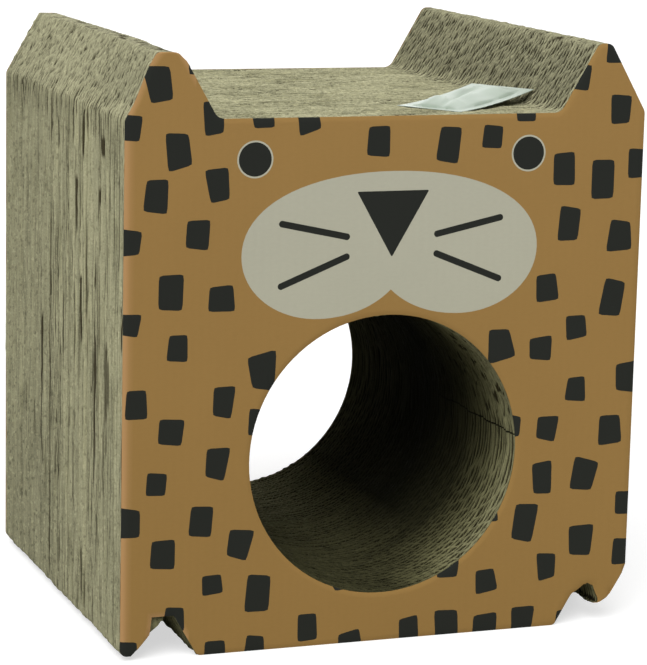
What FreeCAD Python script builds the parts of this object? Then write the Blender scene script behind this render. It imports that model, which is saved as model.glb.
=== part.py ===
import FreeCAD, Part
import math
import os
import Sketcher

# Cat scratcher: a block of die-cut corrugated boards glued face to face, with two ears,
# a round tunnel from front to back, two notches that leave corner feet, a printed front
# cover, a plain rear cover and a loose catnip sachet lying on the deck.
# Frame: X to the right, front face towards -Y, Z up. The origin is under the middle of
# the block, on the surface that it stands on. Lengths are millimetres.

# Driving sizes: alias, value, what it is
SIZES = [
    ("body_width", 350.0, "block from side to side"),
    ("deck_height", 342.0, "deck between the ears, above the ground"),
    ("ear_height", 44.0, "ear above the deck"),
    ("ear_base_width", 59.5, "ear where it leaves the deck"),
    ("ear_tip_width", 9.0, "blunt tip of an ear before rounding"),
    ("ear_tip_radius", 5.5, "rounding of an ear's tip corners"),
    ("ear_shoulder_radius", 7.0, "rounding where a side turns into the ear"),
    ("ear_foot_radius", 8.0, "hollow where an ear meets the deck"),
    ("tunnel_diameter", 183.0, "round tunnel from front to back"),
    ("tunnel_centre_height", 123.5, "tunnel axis above the ground"),
    ("notch_height", 27.5, "notch in the lower edge"),
    ("notch_top_width", 14.5, "flat top of a notch"),
    ("notch_run", 16.0, "how far a notch's inner wall leans"),
    ("notch_inset", 20.5, "from a side to its notch"),
    ("base_corner_radius", 4.0, "rounding beside the middle of the lower edge"),
    ("foot_width", 18.0, "corner foot at its tip before rounding"),
    ("foot_lift", 3.0, "tip of a foot above the ground"),
    ("foot_inner_radius", 9.0, "rounding of a foot towards its notch"),
    ("foot_outer_radius", 4.5, "rounding of a foot towards the side"),
    ("body_depth", 306.0, "block from the front face to the rear face"),
    ("sheet_count", 68, "corrugated sheets between the two covers"),
    ("liner_thickness", 0.5, "liner that stands beside an open flute at a sheet's side"),
    ("open_flute_depth", 5.2, "deepest open flute at a sheet's side"),
    ("cover_thickness", 3.4, "printed front cover and plain rear cover"),
    ("sachet_length", 84.0, "sachet along its long side"),
    ("sachet_width", 50.0, "sachet across"),
    ("seal_width", 6.0, "flat sealed rim round the sachet"),
    ("film_thickness", 0.4, "one film of the sachet"),
    ("filling_height", 5.5, "catnip inside the sachet"),
    ("crown_inset", 9.0, "how far the sachet's crown draws in"),
    ("sachet_turn", 32.0, "sachet turned on the deck, degrees"),
    ("sachet_tilt", 6.0, "sachet's rise towards the ear, degrees"),
    ("sachet_setback", 10.5, "sachet's front corner behind the front face"),
    ("seat_gap", 0.3, "clearance between the loose sachet and the block"),
]

# How deep the flute at a sheet's side is open, repeated from sheet to sheet
OPEN_FLUTE_SHARES = (0.15, 0.5, 0, 0.25, 1, 0.1, 0.35, 0, 0.7, 0.2, 0.1)
RIGHT_SIDE_STRIDE = 4

SHEET_THICKNESS = "( body_depth - 2 * cover_thickness ) / sheet_count"
SHEETS_PER_NODE = 2
OUTPUT_FOLDER = "parts"
MIRRORED = -1
STRAIGHT = 1


def add_sizes(doc):
    """Spreadsheet with one aliased cell for each driving size."""
    sheet = doc.addObject("Spreadsheet::Sheet", "Sizes")
    for row, (alias, value, meaning) in enumerate(SIZES, start=1):
        sheet.set(f"A{row}", meaning)
        sheet.set(f"B{row}", str(value))
        sheet.setAlias(f"B{row}", alias)
    doc.recompute()
    return sheet


def formula(text):
    """Expression in which every size's name points at its spreadsheet cell."""
    names = {alias for alias, _, _ in SIZES}
    words = [f"Sizes.{word}" if word in names else word for word in text.split()]
    return " ".join(words)


def bind(item, sizes):
    """Bind properties to expressions in the sizes' names."""
    for name, text in sizes.items():
        item.setExpression(name, formula(text))


class DieLine:
    """Sketch of the outline that one cutting die gives to every board."""

    def __init__(self, doc, sheet):
        self.sheet = sheet
        self.sketch = doc.addObject("Sketcher::SketchObject", "die_line")
        self.sketch.Label = "die_line_sketch"
        upright = FreeCAD.Rotation(FreeCAD.Vector(1, 0, 0), 90)
        self.sketch.Placement = FreeCAD.Placement(FreeCAD.Vector(0, 0, 0), upright)

    def value(self, text):
        return float(self.sheet.evalExpression(formula(text)))

    def driven(self, kind, *args):
        """Add a constraint whose last argument is an expression, and bind it."""
        geometry, text = args[:-1], args[-1]
        constraint = Sketcher.Constraint(kind, *geometry, self.value(text))
        index = self.sketch.addConstraint(constraint)
        self.sketch.setExpression(f"Constraints[{index}]", formula(text))

    def fixed(self, kind, *args):
        self.sketch.addConstraint(Sketcher.Constraint(kind, *args))

    def half_corners(self):
        """Corners of the right half, from the lower middle round to the deck's middle.

        Each is distance from the middle, height and name of the rounding, or None.
        """
        side = "( body_width / 2 )"
        ear_run = "( ( ear_base_width - ear_tip_width ) / 2 )"
        ear_top = "deck_height + ear_height"
        notch_outer = f"{side} - notch_inset"
        notch_inner = f"{notch_outer} - notch_top_width"
        return [
            (f"{notch_inner} - notch_run", None, "base_corner_radius"),
            (notch_inner, "notch_height", None),
            (notch_outer, "notch_height", None),
            (f"{side} - foot_width", "foot_lift", "foot_inner_radius"),
            (side, "foot_lift", "foot_outer_radius"),
            (side, "deck_height", "ear_shoulder_radius"),
            (f"{side} - {ear_run}", ear_top, "ear_tip_radius"),
            (f"{side} - {ear_run} - ear_tip_width", ear_top, "ear_tip_radius"),
            (f"{side} - ear_base_width", "deck_height", "ear_foot_radius"),
        ]

    def corners(self):
        """All corners, anticlockwise, with the side that each is on."""
        half = self.half_corners()
        right = [(STRAIGHT, *corner) for corner in half]
        left = [(MIRRORED, *corner) for corner in reversed(half)]
        return right + left

    def place_point(self, index, position, side, across, height):
        """Hold a point at its distance from the middle and its height."""
        if side == STRAIGHT:
            self.driven("DistanceX", -1, 1, index, position, across)
        else:
            self.driven("DistanceX", index, position, -1, 1, across)
        if height is None:
            self.fixed("PointOnObject", index, position, -1)
        else:
            self.driven("DistanceY", -1, 1, index, position, height)

    def rounding(self, here, before, after, radius):
        """Arc that rounds a corner, and whether the outline turns left there."""
        inward = (before - here).normalize()
        outward = (after - here).normalize()
        opening = inward.getAngle(outward)
        reach = radius / math.tan(opening / 2)
        middle = (inward + outward).normalize() * (radius / math.sin(opening / 2))
        centre = here + middle
        start, end = here + inward * reach, here + outward * reach
        turns_left = (outward.cross(inward)).z > 0
        first, last = (start, end) if turns_left else (end, start)
        angles = [math.atan2((p - centre).y, (p - centre).x) for p in (first, last)]
        circle = Part.Circle(centre, FreeCAD.Vector(0, 0, 1), radius)
        return Part.ArcOfCircle(circle, *angles), start, end, turns_left

    def draw_outline(self):
        corners = self.corners()
        places = [
            FreeCAD.Vector(side * self.value(across), self.value(height) if height else 0)
            for side, across, height, _ in corners
        ]
        count = len(corners)
        entries, exits, arcs = [], [], []
        for number, (_, _, _, radius) in enumerate(corners):
            here = places[number]
            if radius is None:
                arcs.append(None)
                entries.append(here)
                exits.append(here)
                continue
            before, after = places[number - 1], places[(number + 1) % count]
            arc, start, end, turns_left = self.rounding(here, before, after, self.value(radius))
            arcs.append((self.sketch.addGeometry(arc, False), turns_left))
            entries.append(start)
            exits.append(end)
        lines = []
        for number in range(count):
            line = Part.LineSegment(exits[number], entries[(number + 1) % count])
            lines.append(self.sketch.addGeometry(line, False))
        for number, (side, across, height, radius) in enumerate(corners):
            incoming, outgoing = lines[number - 1], lines[number]
            if radius is None:
                self.fixed("Coincident", incoming, 2, outgoing, 1)
                self.place_point(outgoing, 1, side, across, height)
                continue
            arc, turns_left = arcs[number]
            first, last = (1, 2) if turns_left else (2, 1)
            self.fixed("Tangent", incoming, 2, arc, first)
            self.fixed("Tangent", outgoing, 1, arc, last)
            self.driven("Radius", arc, radius)
            point = self.sketch.addGeometry(Part.Point(places[number]), True)
            self.fixed("PointOnObject", point, 1, incoming)
            self.fixed("PointOnObject", point, 1, outgoing)
            self.place_point(point, 1, side, across, height)

    def draw_tunnel(self):
        centre = FreeCAD.Vector(0, self.value("tunnel_centre_height"))
        radius = self.value("tunnel_diameter / 2")
        circle = Part.Circle(centre, FreeCAD.Vector(0, 0, 1), radius)
        index = self.sketch.addGeometry(circle, False)
        self.fixed("PointOnObject", index, 3, -2)
        self.driven("DistanceY", -1, 1, index, 3, "tunnel_centre_height")
        self.driven("Radius", index, "tunnel_diameter / 2")

    def draw(self):
        self.draw_outline()
        self.draw_tunnel()
        return self.sketch


def board(doc, name, die_line, thickness, front):
    """One board cut on the die line, front being the place of its front face."""
    piece = doc.addObject("Part::Extrusion", name)
    piece.Label = name
    piece.Base = die_line
    piece.DirMode = "Custom"
    piece.Dir = FreeCAD.Vector(0, 1, 0)
    piece.FaceMakerClass = "Part::FaceMakerBullseye"
    piece.Solid = True
    bind(piece, {"LengthFwd": thickness, "Placement.Base.y": front})
    return piece


def open_flute(doc, name, depth, front, outer):
    """Block as deep as a side's open flute, between the two liners of a sheet."""
    block = doc.addObject("Part::Box", name)
    bind(block, {
        "Length": f"2 * {depth}",
        "Width": f"{SHEET_THICKNESS} - 2 * liner_thickness",
        "Height": "deck_height + ear_height",
        "Placement.Base.x": f"{outer} - {depth}",
        "Placement.Base.y": f"{front} + liner_thickness",
    })
    return block


def corrugated_sheet(doc, die_line, index):
    """One sheet whose flutes are open at its sides, by depths of its own."""
    name = f"sheet_{index + 1:02d}"
    front = f"( {index} - sheet_count / 2 ) * {SHEET_THICKNESS}"
    plate = board(doc, f"{name}_plate", die_line, SHEET_THICKNESS, front)
    sides = (
        ("left", "( 0 - body_width / 2 )", index),
        ("right", "( body_width / 2 )", RIGHT_SIDE_STRIDE * index),
    )
    blocks = []
    for side, outer, step in sides:
        share = OPEN_FLUTE_SHARES[step % len(OPEN_FLUTE_SHARES)]
        if share:
            depth = f"( {share} * open_flute_depth )"
            blocks.append(open_flute(doc, f"{name}_{side}_flute", depth, front, outer))
    if not blocks:
        return plate
    flutes = doc.addObject("Part::Compound", f"{name}_flutes")
    flutes.Links = blocks
    sheet = doc.addObject("Part::Cut", name)
    sheet.Base, sheet.Tool = plate, flutes
    return sheet


def sheet_nodes(doc, die_line, sheet_count):
    """Corrugated sheets, two to a node, from the front cover to the rear cover."""
    nodes = []
    for first in range(0, sheet_count, SHEETS_PER_NODE):
        number = first // SHEETS_PER_NODE + 1
        last = min(first + SHEETS_PER_NODE, sheet_count)
        sheets = [corrugated_sheet(doc, die_line, index) for index in range(first, last)]
        node = doc.addObject("Part::Compound", f"sheet_pair_{number:02d}")
        node.Label = f"sheet_pair_{number:02d}"
        node.Links = sheets
        nodes.append(node)
    return nodes


def cover_nodes(doc, die_line):
    """Boards that close the stack at the front and at the rear."""
    front = board(doc, "front_cover", die_line, "cover_thickness", "0 - body_depth / 2")
    rear = board(doc, "rear_cover", die_line, "cover_thickness", "body_depth / 2 - cover_thickness")
    return [front, rear]


def pillow(doc, name, inset, base, height):
    """Low crowned block inside the sachet's seal, drawn in towards its top."""
    piece = doc.addObject("Part::Wedge", name)
    along, across = "sachet_length - seal_width", "sachet_width - seal_width"
    low = f"seal_width + {inset}"
    bind(piece, {
        "Xmin": low,
        "X2min": f"{low} + crown_inset",
        "Xmax": f"{along} - {inset}",
        "X2max": f"{along} - {inset} - crown_inset",
        "Ymin": base,
        "Ymax": f"{base} + {height}",
        "Zmin": low,
        "Z2min": f"{low} + crown_inset",
        "Zmax": f"{across} - {inset}",
        "Z2max": f"{across} - {inset} - crown_inset",
    })
    upright = FreeCAD.Rotation(FreeCAD.Vector(1, 0, 0), 90)
    piece.Placement = FreeCAD.Placement(FreeCAD.Vector(0, 0, 0), upright)
    bind(piece, {"Placement.Base.y": "sachet_width"})
    return piece


def film_sheet(doc, name, base):
    """Flat film as large as the sachet."""
    piece = doc.addObject("Part::Box", name)
    bind(piece, {
        "Length": "sachet_length",
        "Width": "sachet_width",
        "Height": "film_thickness",
        "Placement.Base.z": base,
    })
    return piece


def lay_on_deck(sheet, piece):
    """Turn and tilt a sachet piece about its front corner, its far corner at the ear's slope."""
    turn = FreeCAD.Rotation(FreeCAD.Vector(0, 0, 1), float(sheet.sachet_turn))
    tilt = FreeCAD.Rotation(FreeCAD.Vector(0, 1, 0), -float(sheet.sachet_tilt))
    piece.Placement = FreeCAD.Placement(FreeCAD.Vector(0, 0, 0), turn * tilt)
    ear_lean = "( ear_base_width - ear_tip_width ) / 2 / ear_height"
    rise = "( sachet_length * sin( sachet_tilt * 1 deg ) + seat_gap )"
    reach = "sachet_length * cos( sachet_tilt * 1 deg ) * cos( sachet_turn * 1 deg )"
    ear_foot = "body_width / 2 - ear_base_width"
    bind(piece, {
        "Placement.Base.x": f"{ear_foot} + {rise} * {ear_lean} - {reach} - 2 * seat_gap",
        "Placement.Base.y": "sachet_setback - body_depth / 2",
        "Placement.Base.z": "deck_height + seat_gap",
    })


def laid_node(doc, sheet, name, source):
    """Sub-part that holds one sachet piece in its place on the deck."""
    node = doc.addObject("Part::Compound", name)
    node.Label = name
    node.Links = [source]
    lay_on_deck(sheet, node)
    return node


def sachet_nodes(doc, sheet):
    """Two films sealed round a filling of dried catnip."""
    lower = film_sheet(doc, "lower_film_flat", "0")
    rim = film_sheet(doc, "upper_film_rim", "film_thickness")
    crown = pillow(doc, "upper_film_crown", "0", "film_thickness", "( filling_height + film_thickness )")
    hollow = pillow(doc, "upper_film_hollow", "film_thickness", "film_thickness", "filling_height")
    outside = doc.addObject("Part::Fuse", "upper_film_outside")
    outside.Base, outside.Tool = rim, crown
    upper = doc.addObject("Part::Cut", "upper_film_flat")
    upper.Base, upper.Tool = outside, hollow
    filling = pillow(doc, "filling_block", "film_thickness", "film_thickness", "filling_height")
    return [
        laid_node(doc, sheet, "sachet_lower_film", lower),
        laid_node(doc, sheet, "sachet_upper_film", upper),
        laid_node(doc, sheet, "catnip_filling", filling),
    ]


def check(doc, nodes):
    """Stop if an object failed or a node's shape is empty or broken."""
    for item in doc.Objects:
        if "Invalid" in item.State or "Error" in item.State:
            raise RuntimeError(f"{item.Label} failed: {item.State}")
    for node in nodes:
        if node.Shape.isNull() or not node.Shape.isValid() or not node.Shape.Solids:
            raise RuntimeError(f"{node.Label} has no valid solid")


def export(nodes):
    os.makedirs(OUTPUT_FOLDER, exist_ok=True)
    for node in nodes:
        node.Shape.exportStep(os.path.join(OUTPUT_FOLDER, f"{node.Label}.step"))


def main():
    doc = FreeCAD.newDocument("cat_scratcher")
    sheet = add_sizes(doc)
    die_line = DieLine(doc, sheet).draw()
    nodes = cover_nodes(doc, die_line)
    nodes += sheet_nodes(doc, die_line, int(sheet.sheet_count))
    nodes += sachet_nodes(doc, sheet)
    doc.recompute()
    check(doc, nodes)
    export(nodes)
    solids = sum(len(node.Shape.Solids) for node in nodes)
    print(f"{len(nodes)} nodes, {solids} solids")


main()
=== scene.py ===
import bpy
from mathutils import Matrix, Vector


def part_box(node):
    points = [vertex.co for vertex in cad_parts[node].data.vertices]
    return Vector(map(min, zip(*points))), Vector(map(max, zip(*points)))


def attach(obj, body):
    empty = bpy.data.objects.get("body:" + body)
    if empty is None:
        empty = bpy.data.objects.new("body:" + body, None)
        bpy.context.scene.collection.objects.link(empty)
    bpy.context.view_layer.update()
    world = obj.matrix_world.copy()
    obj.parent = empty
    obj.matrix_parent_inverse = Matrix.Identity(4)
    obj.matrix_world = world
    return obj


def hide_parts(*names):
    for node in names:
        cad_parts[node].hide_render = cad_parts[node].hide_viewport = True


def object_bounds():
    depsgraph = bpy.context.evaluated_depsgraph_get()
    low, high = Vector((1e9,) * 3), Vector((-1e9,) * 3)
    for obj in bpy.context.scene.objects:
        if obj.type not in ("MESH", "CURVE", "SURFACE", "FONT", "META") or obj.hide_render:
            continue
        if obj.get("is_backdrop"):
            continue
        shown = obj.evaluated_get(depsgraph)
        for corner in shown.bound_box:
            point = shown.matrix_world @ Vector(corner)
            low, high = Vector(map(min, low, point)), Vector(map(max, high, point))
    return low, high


bl_info = {
    "name": "Cat scratcher",
    "version": (1, 0, 0),
    "blender": (4, 5, 0),
    "location": "View3D > Sidebar > Scratcher",
    "description": "Builds the boards, the print and the sachet of a cardboard cat scratcher",
    "category": "Object",
}

import math

import bmesh
import bpy
import numpy as np
from mathutils import Matrix, Vector

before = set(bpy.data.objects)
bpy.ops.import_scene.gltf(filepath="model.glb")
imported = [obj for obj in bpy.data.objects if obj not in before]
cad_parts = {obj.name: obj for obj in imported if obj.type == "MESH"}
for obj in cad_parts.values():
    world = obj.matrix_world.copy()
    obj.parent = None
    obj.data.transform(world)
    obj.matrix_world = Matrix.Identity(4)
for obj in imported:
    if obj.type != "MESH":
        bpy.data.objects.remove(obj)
CAD_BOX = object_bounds()

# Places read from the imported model, in metres
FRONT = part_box("front_cover")[0].y
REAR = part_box("rear_cover")[1].y
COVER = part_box("front_cover")[1].y - FRONT
HALF_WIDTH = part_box("front_cover")[1].x
EAR_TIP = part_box("front_cover")[1].z
PAIRS = sorted(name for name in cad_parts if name.startswith("sheet_pair_"))
SHEETS_PER_NODE = 2
SHEET_COUNT = len(PAIRS) * SHEETS_PER_NODE
FIRST_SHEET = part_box(PAIRS[0])[0].y
SHEET = (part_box(PAIRS[0])[1].y - FIRST_SHEET) / SHEETS_PER_NODE

MM = 0.001
TAU = 2 * math.pi
BODY = "block"
SACHET_BODY = "sachet"
MERGE = 0.01 * MM
# Strip along each side that its open flutes, splits, soil and painted shade reach
SIDE_STRIP = 8 * MM
WHITE = (1, 1, 1, 1)


def mm(*values):
    """Lengths in metres of lengths in millimetres."""
    return tuple(value * MM for value in values)


def srgb(red, green, blue):
    """Linear colour of a colour given as it looks on a screen, 0 to 255."""
    shares = [value / 255 for value in (red, green, blue)]
    return tuple(
        share / 12.92 if share <= 0.04045 else ((share + 0.055) / 1.055) ** 2.4 for share in shares
    )


def length(name, default, description):
    return bpy.props.FloatProperty(name=name, description=description, default=default, unit="LENGTH")


def turn(name, default, description):
    value = math.radians(default)
    return bpy.props.FloatProperty(name=name, description=description, default=value, unit="ROTATION")


def share(name, default, description):
    return bpy.props.FloatProperty(name=name, description=description, default=default)


def number(name, default, description):
    return bpy.props.IntProperty(name=name, description=description, default=default)


def colour(name, default, description):
    return bpy.props.FloatVectorProperty(
        name=name, description=description, default=srgb(*default), subtype="COLOR", size=3, min=0, max=1
    )


def place(name, default, description):
    return bpy.props.FloatVectorProperty(
        name=name, description=description, default=default, subtype="XYZ", unit="LENGTH", size=3
    )


class ScratcherBoards(bpy.types.PropertyGroup):
    """Sizes and colours of the corrugated boards."""

    liner: length("Liner", 0.4 * MM, "Thickness of a flat liner")
    medium: length("Medium", 0.3 * MM, "Thickness of the fluted paper")
    flute_pitch: length("Flute pitch", 5.6 * MM, "From one flute of a sheet to the next")
    cover_pitch: length("Cover flute pitch", 5.6 * MM, "From one flute of a cover to the next")
    flute_column: length("Flute column", 1 * MM, "Width of one facet of a flute")
    liner_column: length("Liner column", 5 * MM, "Width of one facet of a liner")
    ear_column: length("Ear column", 2 * MM, "Width of one facet of a liner in an ear")
    ear_zone: length("Ear zone", 112 * MM, "From the middle to where the ears begin")
    side_row: length("Side row", 8 * MM, "Height of one facet along the sides")
    rim: length("Rim", 1.8 * MM, "Strip along each cut edge that the die has crushed")
    second_rim: length("Second rim", 1.9 * MM, "Strip inside the rim that bends with it")
    lean: length("Lean", 0.35 * MM, "How far the cut edges lean towards the rear")
    crushed_lean: length("Crushed lean", 2.4 * MM, "How far crushed edges lean towards the rear")
    own_lean: length("Own lean", 0.45 * MM, "How far each board's edges lean by themselves")
    ragged: length("Raggedness", 0.35 * MM, "How far the cut edges lie in and out")
    face_roll: length("Face roll", 0.6 * MM, "How far the rim of a cover's face is pressed in")
    board_colour: colour("Board", (195, 192, 156), "Colour of the corrugated sheets")
    face_colour: colour("Face", (167, 131, 76), "Colour of the printed front")
    rear_colour: colour("Rear", (176, 148, 106), "Colour of the plain rear cover")
    seed: number("Seed", 7, "Seed of the sheets' unevenness")


class ScratcherPrint(bpy.types.PropertyGroup):
    """Sizes and colours of what is printed on the front."""

    shift: length("Shift", 1.1 * MM, "How far the face is printed to the right of the middle")
    muzzle_half: length("Muzzle half width", 100.3 * MM, "From the face's middle to the muzzle's side")
    muzzle_top: length("Muzzle top", 307.2 * MM, "Top of the muzzle above the ground")
    muzzle_side: length("Muzzle side", 256 * MM, "Height at which the muzzle is widest")
    lobe_place: length("Lobe", 48 * MM, "From the face's middle to the lowest point of a lobe")
    lobe_low: length("Lobe low", 214.3 * MM, "Lowest point of the muzzle above the ground")
    cleft: length("Cleft", 231.5 * MM, "Top of the cleft between the lobes")
    nose_half: length("Nose half width", 24.4 * MM, "Half of the nose's upper edge")
    nose_top: length("Nose top", 294.6 * MM, "Upper edge of the nose")
    nose_tip: length("Nose tip", 252.2 * MM, "Lower corner of the nose")
    eye_place: length("Eye place", 92.3 * MM, "From the face's middle to an eye")
    eye_height: length("Eye height", 316.5 * MM, "Eyes above the ground")
    eye_radius: length("Eye radius", 10.7 * MM, "Radius of an eye")
    eye_ring: length("Eye ring", 1.1 * MM, "Pale ring round an eye")
    whisker_width: length("Whisker width", 4.3 * MM, "Thickness of a whisker")
    spot_gap: length("Spot gap", 26.5 * MM, "Least distance between the middles of two spots")
    seed: number("Seed", 21, "Seed of the spots' layout")
    black: colour("Black ink", (36, 38, 34), "Colour of spots, nose, eyes and whiskers")
    pale: colour("Pale ink", (196, 194, 175), "Colour of the muzzle")


class ScratcherSachet(bpy.types.PropertyGroup):
    """Sizes and colours of the catnip sachet."""

    long_side: length("Length", 84 * MM, "Sachet along its long side")
    short_side: length("Width", 50 * MM, "Sachet across")
    seal: length("Seal", 6 * MM, "Flat sealed rim")
    height: length("Height", 5.5 * MM, "Height of the filling")
    film: length("Film", 0.2 * MM, "Thickness of one film")
    turned: turn("Turn", 32, "Turn of the sachet on the deck")
    tilt: turn("Tilt", 6, "Rise of the sachet towards the ear")
    film_colour: colour("Film", (172, 186, 170), "Colour of the film")
    catnip_colour: colour("Catnip", (112, 118, 74), "Colour of the dried catnip")


class ScratcherStudio(bpy.types.PropertyGroup):
    """Camera, lamps and floor."""

    camera_place: place("Camera", (-645.7 * MM, -1794.8 * MM, 537.8 * MM), "Place of the camera")
    azimuth: turn("Azimuth", -20.1342, "Direction from the object to the camera, round the object")
    elevation: turn("Elevation", 10.7593, "Direction from the object to the camera, above level")
    roll: turn("Roll", 1.2959, "Camera's own turn about its line of sight")
    lens: bpy.props.FloatProperty(
        name="Lens", description="Focal length in millimetres", default=152.63, unit="CAMERA"
    )
    key: share("Key", 2.9, "Strength of the key lamp")
    back: share("Back", 1.2, "Strength of the lamp behind")
    ambient: share("Ambient", 0.12, "Strength of the even light all round")
    floor_size: length("Floor", 60.0, "Side of the floor")
    floor_colour: colour("Floor", (190, 190, 190), "Colour of the floor")
    floor_glow: share("Floor glow", 0.62, "How far the floor's own light lifts it to white")
    bounce_colour: colour("Bounce", (175, 175, 172), "Colour of the floor as the lamps' light bounces off it")


# Modelling by operators


def link(piece):
    bpy.context.scene.collection.objects.link(piece)
    return piece


def pick(*pieces):
    """Leave edit mode and select only these pieces, the first of them active."""
    if bpy.context.mode != "OBJECT":
        bpy.ops.object.mode_set(mode="OBJECT")
    bpy.ops.object.select_all(action="DESELECT")
    for piece in pieces:
        piece.select_set(True)
    bpy.context.view_layer.objects.active = pieces[0]


def edit(piece):
    """Open one piece in edit mode with all of it selected."""
    pick(piece)
    bpy.ops.object.mode_set(mode="EDIT")
    bpy.ops.mesh.select_mode(type="FACE")
    bpy.ops.mesh.select_all(action="SELECT")


def done(piece):
    bpy.ops.object.mode_set(mode="OBJECT")
    return piece


def select(piece, kind, wanted):
    """In edit mode, select the faces or the edges that are wanted."""
    bpy.ops.mesh.select_mode(type=kind)
    bpy.ops.mesh.select_all(action="DESELECT")
    shape = bmesh.from_edit_mesh(piece.data)
    for part in shape.faces if kind == "FACE" else shape.edges:
        if wanted(part):
            part.select_set(True)
    bmesh.update_edit_mesh(piece.data)


def duplicate(piece, name):
    return link(bpy.data.objects.new(name, piece.data.copy()))


def remove(*pieces):
    for piece in pieces:
        bpy.data.objects.remove(piece)


def apply_modifier(piece, kind, **settings):
    pick(piece)
    modifier = piece.modifiers.new(kind.title(), kind)
    for name, value in settings.items():
        setattr(modifier, name, value)
    bpy.ops.object.modifier_apply(modifier=modifier.name)
    return piece


def thicken(piece, thickness):
    """Give a flat sheet its thickness, half to each side."""
    return apply_modifier(piece, "SOLIDIFY", thickness=thickness, offset=0)


def boolean(piece, tool, operation):
    """Cut or keep what the tool covers."""
    return apply_modifier(piece, "BOOLEAN", object=tool, operation=operation, solver="EXACT")


def smooth(piece, angle):
    pick(piece)
    bpy.ops.object.shade_smooth_by_angle(angle=math.radians(angle))
    return piece


def places_of(piece):
    places = np.empty(len(piece.data.vertices) * 3)
    piece.data.vertices.foreach_get("co", places)
    return places.reshape(-1, 3)


def set_places(piece, places):
    piece.data.vertices.foreach_set("co", places.ravel())
    piece.data.update()
    return piece


def joined(name, *pieces):
    if len(pieces) > 1:
        pick(*pieces)
        bpy.ops.object.join()
    pieces[0].name = name
    return pieces[0]


def face_outwards(piece):
    edit(piece)
    bpy.ops.mesh.normals_make_consistent(inside=False)
    return done(piece)


def mark(piece, name, values):
    """Keep one number for each vertex, for joining or for the finish."""
    attribute = piece.data.attributes.get(name) or piece.data.attributes.new(name, "FLOAT", "POINT")
    attribute.data.foreach_set("value", np.asarray(values, np.float32))


def finish_piece(piece, material, body, slot, *nodes):
    """Give a piece its finish, its body and the CAD nodes that it stands for; its slot is not used."""
    piece.data.materials.clear()
    piece.data.materials.append(material)
    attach(piece, body)
    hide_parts(*nodes)
    return piece


# Unevenness


# In millimetres: along an axis where its waves are this long, a ripple is even
EVEN = 1000


class Ripple:
    """Smooth noise, about -1 to 1, that is a sum of seeded sine waves."""

    WAVES = 14
    SPREAD = (0.7, 1.5)

    def __init__(self, seed, lengths):
        draw = np.random.default_rng(seed)
        ways = draw.normal(size=(self.WAVES, 3))
        ways /= np.linalg.norm(ways, axis=1)[:, None]
        spread = draw.uniform(*self.SPREAD, self.WAVES)
        self.waves = ways * TAU / (np.array(lengths) * spread[:, None])
        self.starts = draw.uniform(0, TAU, self.WAVES)

    @classmethod
    def drawn(cls, draw, lengths):
        """Ripple with a seed that is drawn."""
        return cls(draw.integers(1 << 30), lengths)

    def __call__(self, places):
        return np.sin(places @ self.waves.T + self.starts).sum(1) / math.sqrt(self.WAVES)


def ease(values, low, high):
    """0 below low, 1 above high and smooth between them."""
    shares = np.clip((values - low) / (high - low), 0, 1)
    return shares * shares * (3 - 2 * shares)


# Boards


# Plies of a board, and the angle in degrees up to which a board's facets are shaded as one
FRONT_LINER, MEDIUM, REAR_LINER = -1, 0, 1
BOARD_SMOOTHING = 40
# Wave lengths of a flute's straying, and of the fold that shuts it at a side
FLUTE_STRAY = mm(40, EVEN, 90)
FOLD_STRAY = mm(EVEN, EVEN, 55)
# Open depth of a board's flutes at its left and right side, where they are shut
SHUT = {-1: 0, 1: 0}
# How much of a cover's rolled face is left at its edge, at its first rim and at its second
ROLL_SHARES = (1, 0.28, 0)


def die_cut_face():
    """One flat face with the die line's outline and the tunnel, at y = 0, facing forwards."""
    face = duplicate(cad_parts["front_cover"], "die_cut_face")
    edit(face)
    bpy.ops.mesh.remove_doubles(threshold=MERGE)
    select(face, "FACE", lambda part: part.normal.y > -0.5)
    bpy.ops.mesh.delete(type="FACE")
    bpy.ops.mesh.select_all(action="SELECT")
    bpy.ops.mesh.dissolve_limited(angle_limit=math.radians(1))
    bpy.ops.transform.translate(value=(0, -FRONT, 0))
    bpy.ops.mesh.customdata_custom_splitnormals_clear()
    return done(face)


def deck_height(face):
    """Height of the deck, between the ears on the face's upper edge."""
    places = places_of(face)
    return places[np.abs(places[:, 0]) < 0.7 * HALF_WIDTH][:, 2].max()


class DieLine:
    """Edges that the die cuts, with their outward directions."""

    def __init__(self, face):
        shape = bmesh.new()
        shape.from_mesh(face.data)
        starts, runs = [], []
        for edge in shape.edges:
            if edge.is_boundary:
                loop = edge.link_loops[0]
                here, there = loop.vert.co, loop.link_loop_next.vert.co
                starts.append((here.x, here.z))
                runs.append((there.x - here.x, there.z - here.z))
        shape.free()
        self.starts, self.runs = np.array(starts), np.array(runs)

    def nearest(self, places):
        """Distance of each place from the nearest cut edge, and that edge's outward direction."""
        flat = places[:, [0, 2]]
        distance = np.full(len(flat), np.inf)
        outward = np.zeros_like(flat)
        for start, run in zip(self.starts, self.runs):
            along = np.clip((flat - start) @ run / (run @ run), 0, 1)
            gap = np.linalg.norm(flat - start - along[:, None] * run, axis=1)
            closer = gap < distance
            distance[closer] = gap[closer]
            outward[closer] = np.array((run[1], -run[0])) / np.linalg.norm(run)
        return distance, outward


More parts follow.
